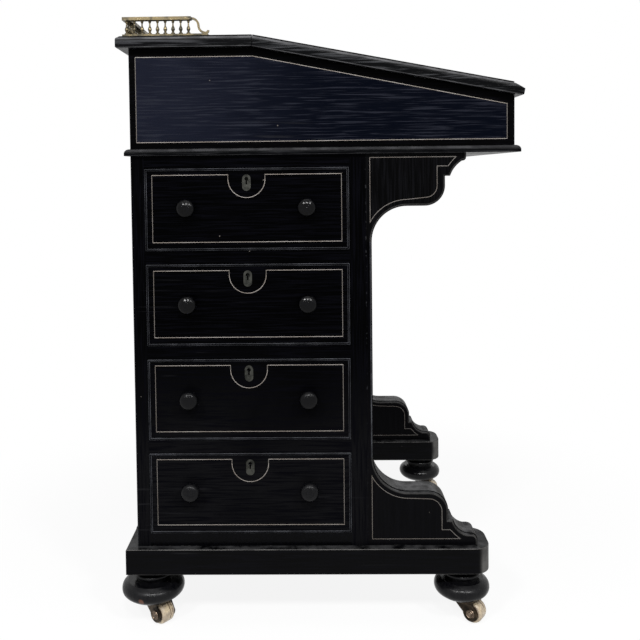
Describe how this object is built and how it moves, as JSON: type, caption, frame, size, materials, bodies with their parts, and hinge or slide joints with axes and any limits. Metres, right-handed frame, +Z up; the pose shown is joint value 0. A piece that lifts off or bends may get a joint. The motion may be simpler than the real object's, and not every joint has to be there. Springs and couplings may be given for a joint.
{
  "type": "davenport desk",
  "caption": "Small ebonised writing desk: sloping hinged lid over a box, side drawers, scrolled brackets, brass gallery, bun feet on casters.",
  "frame": {"origin": "on the floor, under the middle of the desk's plan", "axes": "+X towards the sitter, -Y towards the side with the drawers, +Z up"},
  "size_m": [0.5801, 0.549, 0.872],
  "materials": {
    "ebonised_wood": "satin",
    "lining_wood": "matte",
    "gallery_brass": "patinated",
    "hinge_brass": "satin",
    "lock_steel": "dull",
    "caster_metal": "patinated",
    "porcelain": "glazed",
    "writing_leather": "satin"
  },
  "bodies": {
    "case": {"caster_plates": "caster_metal", "bun_feet": "ebonised_wood", "plinth_left_arm": "ebonised_wood", "plinth_right_arm": "ebonised_wood", "plinth_cross_rails": "ebonised_wood", "carcass_back_panel": "ebonised_wood", "carcass_front_panel": "ebonised_wood", "carcass_bottom": "ebonised_wood", "drawer_rails": "ebonised_wood", "drawer_runners": "lining_wood", "carcass_right_panel": "ebonised_wood", "false_drawer_fronts": "ebonised_wood", "false_drawer_knobs": "ebonised_wood", "upper_brackets": "ebonised_wood", "lower_brackets": "ebonised_wood", "front_pilasters": "ebonised_wood", "box_bottom": "ebonised_wood", "box_left_side": "ebonised_wood", "box_right_side": "ebonised_wood", "box_back": "ebonised_wood", "box_front": "ebonised_wood", "lid_lock": "lock_steel", "stationery_nest": "lining_wood", "hinge_fixed_leaves": "hinge_brass", "flat_top": "ebonised_wood", "gallery_rails": "gallery_brass", "gallery_balusters": "gallery_brass"},
    "lid": {"lid": "ebonised_wood", "lid_leather": "writing_leather", "hinge_lid_leaves": "hinge_brass"},
    "lid_bolt": {"lid_lock_bolt": "lock_steel"},
    "drawer_1": {"drawer_1_front": "ebonised_wood", "drawer_1_box": "lining_wood", "drawer_1_knobs": "ebonised_wood", "drawer_1_lock": "lock_steel"},
    "drawer_1_bolt": {"drawer_1_lock_bolt": "lock_steel"},
    "drawer_2": {"drawer_2_front": "ebonised_wood", "drawer_2_box": "lining_wood", "drawer_2_knobs": "ebonised_wood", "drawer_2_lock": "lock_steel"},
    "drawer_2_bolt": {"drawer_2_lock_bolt": "lock_steel"},
    "drawer_3": {"drawer_3_front": "ebonised_wood", "drawer_3_box": "lining_wood", "drawer_3_knobs": "ebonised_wood", "drawer_3_lock": "lock_steel"},
    "drawer_3_bolt": {"drawer_3_lock_bolt": "lock_steel"},
    "drawer_4": {"drawer_4_front": "ebonised_wood", "drawer_4_box": "lining_wood", "drawer_4_knobs": "ebonised_wood", "drawer_4_lock": "lock_steel"},
    "drawer_4_bolt": {"drawer_4_lock_bolt": "lock_steel"},
    "front_left_swivel": {"front_left_caster_fork": "caster_metal"},
    "front_left_wheel": {"front_left_caster_wheel": "porcelain"},
    "rear_left_swivel": {"rear_left_caster_fork": "caster_metal"},
    "rear_left_wheel": {"rear_left_caster_wheel": "porcelain"},
    "front_right_swivel": {"front_right_caster_fork": "caster_metal"},
    "front_right_wheel": {"front_right_caster_wheel": "porcelain"},
    "rear_right_swivel": {"rear_right_caster_fork": "caster_metal"},
    "rear_right_wheel": {"rear_right_caster_wheel": "porcelain"}
  },
  "joints": [
    {"name": "lid_hinge", "type": "hinge", "parent": "case", "child": "lid", "pos_m": [-0.08675, 0, 0.8455], "axis": [0, -1, 0], "range_deg": [0, 105]},
    {"name": "lid_lock", "type": "slide", "parent": "case", "child": "lid_bolt", "axis": [0, 0, 1], "range_m": [0, 0.008]},
    {"name": "drawer_1_slide", "type": "slide", "parent": "case", "child": "drawer_1", "axis": [0, -1, 0], "range_m": [0, 0.3]},
    {"name": "drawer_1_lock", "type": "slide", "parent": "drawer_1", "child": "drawer_1_bolt", "axis": [0, 0, 1], "range_m": [0, 0.008]},
    {"name": "drawer_2_slide", "type": "slide", "parent": "case", "child": "drawer_2", "axis": [0, -1, 0], "range_m": [0, 0.3]},
    {"name": "drawer_2_lock", "type": "slide", "parent": "drawer_2", "child": "drawer_2_bolt", "axis": [0, 0, 1], "range_m": [0, 0.008]},
    {"name": "drawer_3_slide", "type": "slide", "parent": "case", "child": "drawer_3", "axis": [0, -1, 0], "range_m": [0, 0.3]},
    {"name": "drawer_3_lock", "type": "slide", "parent": "drawer_3", "child": "drawer_3_bolt", "axis": [0, 0, 1], "range_m": [0, 0.008]},
    {"name": "drawer_4_slide", "type": "slide", "parent": "case", "child": "drawer_4", "axis": [0, -1, 0], "range_m": [0, 0.3]},
    {"name": "drawer_4_lock", "type": "slide", "parent": "drawer_4", "child": "drawer_4_bolt", "axis": [0, 0, 1], "range_m": [0, 0.008]},
    {"name": "front_left_swivel", "type": "hinge", "parent": "case", "child": "front_left_swivel", "pos_m": [0.20765, -0.226, 0.0337], "axis": [0, 0, 1], "continuous": true},
    {"name": "front_left_roll", "type": "hinge", "parent": "front_left_swivel", "child": "front_left_wheel", "pos_m": [0.22403, -0.23747, 0.01525], "axis": [0.5736, 0.8192, 0], "continuous": true},
    {"name": "rear_left_swivel", "type": "hinge", "parent": "case", "child": "rear_left_swivel", "pos_m": [-0.24455, -0.226, 0.0337], "axis": [0, 0, 1], "continuous": true},
    {"name": "rear_left_roll", "type": "hinge", "parent": "rear_left_swivel", "child": "rear_left_wheel", "pos_m": [-0.22923, -0.23886, 0.01525], "axis": [0.6428, 0.766, 0], "continuous": true},
    {"name": "front_right_swivel", "type": "hinge", "parent": "case", "child": "front_right_swivel", "pos_m": [0.20765, 0.226, 0.0337], "axis": [0, 0, 1], "continuous": true},
    {"name": "front_right_roll", "type": "hinge", "parent": "front_right_swivel", "child": "front_right_wheel", "pos_m": [0.22644, 0.21916, 0.01525], "axis": [0.342, 0.9397, 0], "continuous": true},
    {"name": "rear_right_swivel", "type": "hinge", "parent": "case", "child": "rear_right_swivel", "pos_m": [-0.24455, 0.226, 0.0337], "axis": [0, 0, 1], "continuous": true},
    {"name": "rear_right_roll", "type": "hinge", "parent": "rear_right_swivel", "child": "rear_right_wheel", "pos_m": [-0.22523, 0.23118, 0.01525], "axis": [-0.2588, 0.9659, 0], "continuous": true}
  ]
}
